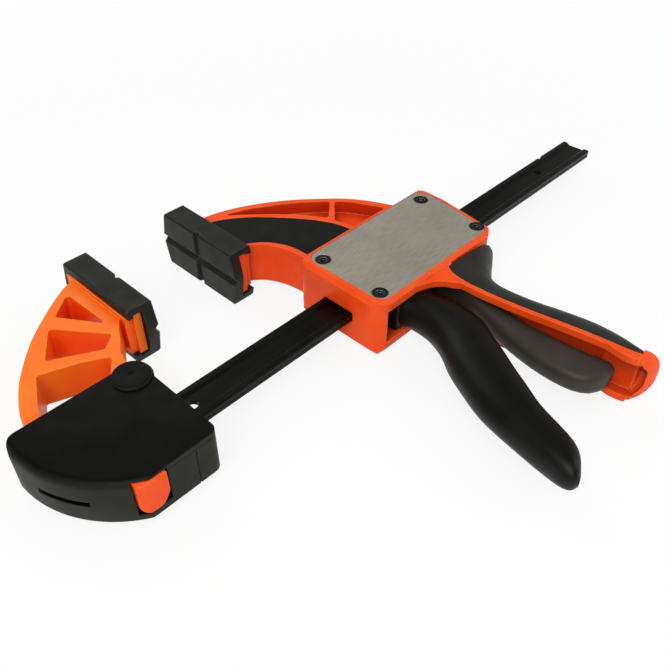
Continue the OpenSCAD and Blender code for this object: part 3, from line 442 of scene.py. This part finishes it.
# socket screws: black oxide, with a bright painted highlight on their rims
screw_steel = steel(
    "black_oxide_screws", dark="#2C2C2A", light="#3C3C3A", edge="#B0B0AA", roughness=0.36,
    line_mm=0.6, line_stretch=1.0, line_depth_mm=0.006, edge_mm=0.6)
# pins, plates and catch inside, and the housing's screws: zinc plate
zinc_steel = steel(
    "zinc_plated_steel", dark="#9A9C9E", light="#B4B6B8", edge="#C8CACC", roughness=0.34,
    line_mm=0.5, line_stretch=4.0, line_depth_mm=0.004, along="Z")
# springs: hard drawn wire
spring_wire = steel(
    "spring_wire_drawn", dark="#7E8083", light="#9A9C9F", edge="#B4B6B9", roughness=0.3,
    line_mm=0.4, line_stretch=1.0, line_depth_mm=0.004)

# %% [markdown]
# ## Rounding the edges of the solids
#
# A moulding never has a knife edge: its mould is cut with a round tool, and steel is
# deburred. CAD leaves the edges sharp, so each visible solid is copied, the corners of its
# loose triangles are joined, its flat triangles are merged, and a Bevel modifier rounds what
# turns by more than 30 degrees. A subdivision surface would soften the edges too, but it would
# also move the flat faces.
#
# The trigger head keeps its triangles, because merging them would close the shallow recess
# around its side plate. It gets no bevel: its faces are shaded evenly, and its edges are
# softened in its material. The copies drop the normals that came with the solids, which fit
# only the triangles as they were.

# %% A mesh to finish
JOIN_MM = 0.002                    # corners closer than this are one corner
SLIVER_MM = 0.01                   # edges shorter than this are dropped
FLAT_TURN = np.radians(0.8)        # faces that turn by less are one flat face
SHARP_TURN = np.radians(30.0)      # edges that turn by more are real edges


def merged_mesh(node, flatten):
    """A copy of a solid's mesh with joined corners, merged flat faces and marked edges."""
    mesh = nodes[node].data.copy()
    mesh.name = node + "_finished"
    shape = bmesh.new()
    shape.from_mesh(mesh)
    bmesh.ops.remove_doubles(shape, verts=shape.verts, dist=JOIN_MM * MM)
    bmesh.ops.dissolve_degenerate(shape, dist=SLIVER_MM * MM, edges=shape.edges)
    if flatten:
        bmesh.ops.dissolve_limit(shape, angle_limit=FLAT_TURN, verts=shape.verts,
                                 edges=shape.edges)
    for edge in shape.edges:
        edge.smooth = bool(edge.calc_face_angle(0.0) < SHARP_TURN)
    for face in shape.faces:
        face.smooth = True
        face.material_index = 0
    shape.to_mesh(mesh)
    shape.free()
    if "custom_normal" in mesh.attributes:
        mesh.attributes.remove(mesh.attributes["custom_normal"])
    return mesh


print("edges stay sharp from", round(np.degrees(SHARP_TURN)), "degrees")

# %% [markdown]
# ## Finishing each moulding
#
# How round an edge is depends on how the piece was made: about 0.7 mm on thick rubber and
# nylon, 0.3 mm on the steel bar, and less on an inlay that was trimmed flat. One radius for
# all would be quicker, but the eye reads the material from its edges. Two segments are enough
# for a radius this small.

# %% Rounded copies of the solids
BEVEL_SEGMENTS = 2


def rounded_copy(node, material, edge_mm, slot):
    """Stands a finished copy for a solid, with its edges rounded by edge_mm where it isn't 0."""
    mesh = merged_mesh(node, flatten=edge_mm > 0)
    mesh.materials.clear()
    mesh.materials.append(material)
    made = bpy.data.objects.new(node + "_finished", mesh)
    bpy.context.collection.objects.link(made)
    if edge_mm > 0:
        bevel = made.modifiers.new("edges", "BEVEL")
        bevel.width = edge_mm * MM
        bevel.segments = BEVEL_SEGMENTS
        bevel.limit_method = "ANGLE"
        bevel.angle_limit = SHARP_TURN
        bevel.use_clamp_overlap = True
        bevel.harden_normals = True
        bevel.miter_outer = "MITER_ARC"
    else:
        made.modifiers.new("even shading", "WEIGHTED_NORMAL").keep_sharp = True
    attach(made, body_of[node])
    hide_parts(node)


# node: material, edge radius in mm (0 keeps the triangles and only evens the shading), slot
FINISHES = {
    "bar": (bar_steel, 0.3, "bar_steel"),
    "housing_upper": (housing_nylon, 0.35, "housing_nylon"),
    "housing_lower": (housing_nylon, 0.35, "housing_nylon"),
    "swing_jaw": (orange_nylon, 0.7, "orange_nylon"),
    "fixed_pad": (pad_rubber, 0.7, "pad_rubber"),
    "moving_pad": (pad_rubber, 0.7, "pad_rubber"),
    "lock_button": (body_nylon, 0.6, "orange_nylon"),
    "head_body": (body_nylon, 0.0, "orange_nylon"),
    "plate_screws_top": (screw_steel, 0.25, "black_screws"),
    "plate_screws_bottom": (screw_steel, 0.25, "black_screws"),
    "arm_inlay_top": (inlay_nylon, 0.15, "inlay_plastic"),
    "arm_inlay_bottom": (inlay_nylon, 0.15, "inlay_plastic"),
    "squeeze_handle": (handle_nylon, 0.5, "handle_plastic"),
    "release_lever": (lever_nylon, 0.4, "lever_plastic"),
    "grip_cover": (grip_rubber, 0.25, "grip_rubber"),
}
for node, finish in FINISHES.items():
    rounded_copy(node, *finish)
print("rounded copies:", len(FINISHES))

# %% [markdown]
# ## Side plates, pins and plates inside
#
# The side plates are punched from sheet, and the pins, the drive and brake plates, the catch
# and the housing's screws are plain zinc plated steel. They could be copied and rounded too,
# but their solids are right as they are, so they only get a finish, whose lighter edge colour
# is a painted highlight.

# %% Plain steel pieces
PLAIN = {
    "plate_steel": (plate_steel, ["side_plate_top", "side_plate_bottom"]),
    "zinc_steel": (zinc_steel, ["housing_screws", "jaw_pin", "lock_catch", "lock_pin",
                                "handle_pin", "drive_plates", "brake_plate", "lever_pin"]),
}
for slot, (material, plain_nodes) in PLAIN.items():
    for node in plain_nodes:
        mesh = nodes[node].data
        mesh.materials.clear()
        mesh.materials.append(material)
    print(slot, "on", ", ".join(plain_nodes))

# %% [markdown]
# ## Surfaces from numbers
#
# The pivot cap and the springs are round all over, which CAD gives as coarse facets. They could
# be smoothed, but it is cleaner to work their surfaces out again as grids of points. Row after
# row is computed at once with numpy, and the quads between them are numbered the same way for
# both.


# %% Grid surfaces
def grid_quads(rows, cols):
    """Quads between closed rows of points that are numbered row by row."""
    i, j = np.meshgrid(np.arange(rows - 1), np.arange(cols), indexing="ij")
    k = (j + 1) % cols
    return np.stack([i * cols + j, i * cols + k, (i + 1) * cols + k, (i + 1) * cols + j],
                    axis=-1).reshape(-1, 4)


def surface(name, rings, node, material, sharp_degrees):
    """A closed skin over rings of shape (rows, cols, 3), with a flat end on each side."""
    rows, cols, _ = rings.shape
    faces = grid_quads(rows, cols).tolist()
    faces += [list(range(cols))[::-1], list(range((rows - 1) * cols, rows * cols))]
    mesh = bpy.data.meshes.new(name)
    mesh.from_pydata(rings.reshape(-1, 3), [], faces)
    shape = bmesh.new()
    shape.from_mesh(mesh)
    bmesh.ops.recalc_face_normals(shape, faces=shape.faces)
    shape.to_mesh(mesh)
    shape.free()
    mesh.materials.append(material)
    mesh.shade_smooth()
    mesh.set_sharp_from_angle(angle=np.radians(sharp_degrees))
    made = bpy.data.objects.new(name, mesh)
    bpy.context.collection.objects.link(made)
    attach(made, body_of[node])
    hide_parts(node)
    print(name, "has", rows, "rings of", cols, "points")
    return made


print("two rings of 8 points are joined by", len(grid_quads(2, 8)), "quads")

# %% [markdown]
# ## The pivot cap
#
# The cap over the jaw's pin is a low turned disc with a round edge and a tiny dimple where the
# moulding's gate was. A bevelled cylinder would give the edge but not the dimple, so a profile
# of radius and height is turned about the pin's axis.

# %% Pivot cap
CAP_EDGE = 1.0 * MM                # radius of the round edge
CAP_POINTS, EDGE_POINTS = 96, 9
CAP_SHARP_DEGREES = 40.0
# the flat top and the dimple, from the edge inwards: share of the radius, and depth in mm
TOP_SHARES = np.array([0.7, 0.4, 0.15, 0.12, 0.09, 0.05, 0.01])
TOP_DEPTHS = np.array([0, 0, 0, 0.05, 0.2, 0.25, 0.25])

cap_low, cap_high = (np.array(corner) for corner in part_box("pivot_cap"))
cap_mid = (cap_low + cap_high) / 2
cap_r = (cap_high - cap_low)[0] / 2
cap_top = (cap_high - cap_low)[2]
quarter = np.linspace(0, np.pi / 2, EDGE_POINTS)
profile_r = np.concatenate([[cap_r], cap_r - CAP_EDGE + CAP_EDGE * np.cos(quarter),
                            cap_r * TOP_SHARES])
profile_z = np.concatenate([[0.0], cap_top - CAP_EDGE + CAP_EDGE * np.sin(quarter),
                            cap_top - TOP_DEPTHS * MM])
turn = np.linspace(0, 2 * np.pi, CAP_POINTS, endpoint=False)
cap_rings = np.stack([cap_mid[0] + profile_r[:, None] * np.cos(turn),
                      cap_mid[1] + profile_r[:, None] * np.sin(turn),
                      cap_low[2] + profile_z[:, None] + 0 * turn], axis=-1)
surface("pivot_cap_disc", cap_rings, "pivot_cap", housing_nylon,
        CAP_SHARP_DEGREES)

# %% [markdown]
# ## Coil springs
#
# The springs are plain wire coils, which CAD draws with only a few points to a turn. A Screw
# modifier could wind finer ones, but a formula also says where the wire ends: a circle carried
# along a helix. At angle a round the coil the wire's middle lies at radius * (cos a, sin a) and
# climbs evenly, and the wire's own circle stands across that path.

# %% Spring function
TURN_POINTS, WIRE_POINTS = 28, 10
WIRE_SHARP_DEGREES = 60.0


def coil(name, node, box, axis, turns, wire_mm):
    """Helix of round wire that fills a box along x or y."""
    low, high = (np.array(corner) for corner in box)
    mid = (low + high) / 2
    wire = wire_mm * MM / 2
    radius = (high - low)[2 if axis == 1 else 1] / 2 - wire
    a = np.linspace(0, 2 * np.pi * turns, turns * TURN_POINTS)
    b = np.linspace(0, 2 * np.pi, WIRE_POINTS, endpoint=False)
    climb = np.linspace(low[axis] + wire, high[axis] - wire, len(a))
    out = (radius + wire * np.cos(b))[None, :]
    along = climb[:, None] + wire * np.sin(b)[None, :]
    u = out * np.cos(a)[:, None]
    v = out * np.sin(a)[:, None]
    parts = {0: (along, mid[1] + u, mid[2] + v), 1: (mid[0] + u, along, mid[2] + v)}[axis]
    made = surface(name, np.stack(parts, axis=-1), node, spring_wire,
                   WIRE_SHARP_DEGREES)
    anchor = mid.copy()
    anchor[axis] = high[axis]
    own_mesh(made)


print("wire is drawn with", TURN_POINTS, "points a turn and", WIRE_POINTS, "round it")

# %% [markdown]
# ## The four springs
#
# Two springs side by side push the drive plates back, one tilts the brake plate and one returns
# the button. They could be one shape at several scales, but that would also scale their wire,
# so each has its own turns and wire.

# %% Drive, brake and button springs
DRIVE_OFFSET = 6.6 * MM            # each drive spring's middle from the bar's
HEAD_WIRE_MM, LOCK_WIRE_MM = 0.88, 0.7

drive_low, drive_high = (np.array(corner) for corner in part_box("drive_spring"))
apart = np.array([0.0, 0.0, 2 * DRIVE_OFFSET])
coil("drive_spring_coil_1", "drive_spring", (drive_low, drive_high - apart), axis=0, turns=5,
     wire_mm=HEAD_WIRE_MM)
coil("drive_spring_coil_2", "drive_spring", (drive_low + apart, drive_high), axis=0, turns=5,
     wire_mm=HEAD_WIRE_MM)
coil("brake_spring_coil_1", "brake_spring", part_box("brake_spring"), axis=0, turns=6,
     wire_mm=HEAD_WIRE_MM)
coil("lock_spring_coil_1", "lock_spring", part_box("lock_spring"), axis=1, turns=5,
     wire_mm=LOCK_WIRE_MM)

# %% [markdown]
# ## The table
#
# The clamp lies on a white table in a white studio. More lamps could make the table white, but
# they would wash out the clamp. So the camera sees it mostly as a plain white colour, and only
# a share of it is lit, which keeps the clamp's soft shadow. That share fades out away from the
# clamp, so the table meets the white studio without a line.

# %% Table
TABLE_WHITE = "#F4F4F2"
TABLE_HALF = 3.0                   # half its side, in metres
TABLE_GAP = 0.05 * MM              # keeps it clear of the clamp's lowest faces
SHADOW_SHARE = 0.14                # how much of its look is lit paper
SHADOW_FADES_FROM, SHADOW_FADES_TO = 0.35, 0.9   # metres from the clamp's origin

table_z = cad_box[0][2] - TABLE_GAP
table_mesh = bpy.data.meshes.new("table")
table_mesh.from_pydata([(-TABLE_HALF, -TABLE_HALF, table_z), (TABLE_HALF, -TABLE_HALF, table_z),
                        (TABLE_HALF, TABLE_HALF, table_z), (-TABLE_HALF, TABLE_HALF, table_z)],
                       [], [(0, 1, 2, 3)])
table = bpy.data.objects.new("table", table_mesh)
bpy.context.collection.objects.link(table)

table_paper, tree, where = start_material("white_table_paper")
path = add(tree, "LightPath")
seen = add(tree, "Math", {0: path.outputs["Is Camera Ray"], 1: path.outputs["Is Glossy Ray"]},
           operation="MAXIMUM")
seen = add(tree, "Math", {0: seen.outputs["Value"], 1: path.outputs["Is Transmission Ray"]},
           operation="MAXIMUM")
away = add(tree, "VectorMath", {0: where}, operation="LENGTH")
white = add(tree, "MapRange", {"Value": away.outputs["Value"], "From Min": SHADOW_FADES_FROM,
                               "From Max": SHADOW_FADES_TO, "To Min": 1 - SHADOW_SHARE,
                               "To Max": 1.0})
share = add(tree, "Math", {0: seen.outputs["Value"], 1: white.outputs["Result"]},
            operation="MULTIPLY")
lit = add(tree, "BsdfDiffuse", {"Color": linear(TABLE_WHITE)})
plain = add(tree, "Emission", {"Color": (1, 1, 1, 1), "Strength": 1.0})
mixed = add(tree, "MixShader", {0: share.outputs["Value"], 1: lit.outputs["BSDF"],
                                2: plain.outputs["Emission"]})
add(tree, "OutputMaterial", {"Surface": mixed.outputs["Shader"]})
table_mesh.materials.append(table_paper)
print("table top at", round(table_z, 5), "m")

# %% [markdown]
# ## The studio
#
# White walls light the clamp softly from all sides, at half strength, and the camera sees them
# plain white. A picture of a studio could light it too, but this needs none. Shiny surfaces see
# walls that are bright near the ground and darker above, so flat glossy tops stay dark and
# their sides catch the light.

# %% Studio
STUDIO_LEVEL = 0.5
WALL_BRIGHT, WALL_DARK = 0.7, 0.2
WALL_FOOT, WALL_TOP = 0.05, 0.6    # heights between which a wall turns dark, 1 being overhead

world = bpy.data.worlds.new("studio")
bpy.context.scene.world = world
world.use_nodes = True
tree = world.node_tree
tree.nodes.clear()
path = add(tree, "LightPath")
seen = add(tree, "Math", {0: path.outputs["Is Camera Ray"],
                          1: path.outputs["Is Transmission Ray"]}, operation="MAXIMUM")
height = add(tree, "SeparateXYZ", {0: add(tree, "TexCoord").outputs["Generated"]})
wall = add(tree, "MapRange", {"Value": height.outputs["Z"], "From Min": WALL_FOOT,
                              "From Max": WALL_TOP, "To Min": WALL_BRIGHT, "To Max": WALL_DARK})
mirrored = add(tree, "Mix", {"Factor": path.outputs["Is Glossy Ray"], NUMBER_A: STUDIO_LEVEL,
                             NUMBER_B: wall.outputs["Result"]})
strength = add(tree, "Mix", {"Factor": seen.outputs["Value"],
                             NUMBER_A: mirrored.outputs[NUMBER_OUT], NUMBER_B: 1.0})
sky = add(tree, "Background", {"Color": (1, 1, 1, 1), "Strength": strength.outputs[NUMBER_OUT]})
add(tree, "OutputWorld", {"Surface": sky.outputs["Background"]})
print("studio walls light the clamp at", STUDIO_LEVEL)

# %% [markdown]
# ## Lamps
#
# Three large square softboxes overhead give soft highlights and the faint shadow. A sun lamp
# would be simpler, but its shadow has a hard edge. The strongest hangs behind the camera, one
# fills from the right and one lights the far edges from behind.

# %% Lamps
# name: place, the point it is aimed at, side in metres, watts
SOFTBOXES = {
    "key_softbox": ((-0.55, -0.35, 0.85), (0.08, 0.02, 0.0), 0.7, 6.5),
    "fill_softbox": ((0.75, -0.7, 0.6), (0.08, 0.0, 0.0), 0.6, 2.2),
    "back_softbox": ((0.35, 0.9, 0.8), (0.08, 0.0, 0.0), 0.6, 2.0),
}
for name, (at, aim, side, watts) in SOFTBOXES.items():
    lamp_data = bpy.data.lights.new(name, "AREA")
    lamp_data.shape = "SQUARE"
    lamp_data.size = side
    lamp_data.energy = watts
    lamp = bpy.data.objects.new(name, lamp_data)
    lamp.location = at
    lamp.rotation_mode = "QUATERNION"
    lamp.rotation_quaternion = (Vector(aim) - Vector(at)).to_track_quat("-Z", "Y")
    bpy.context.collection.objects.link(lamp)
    print(name, watts, "W")
bpy.context.scene.view_settings.view_transform = "Standard"
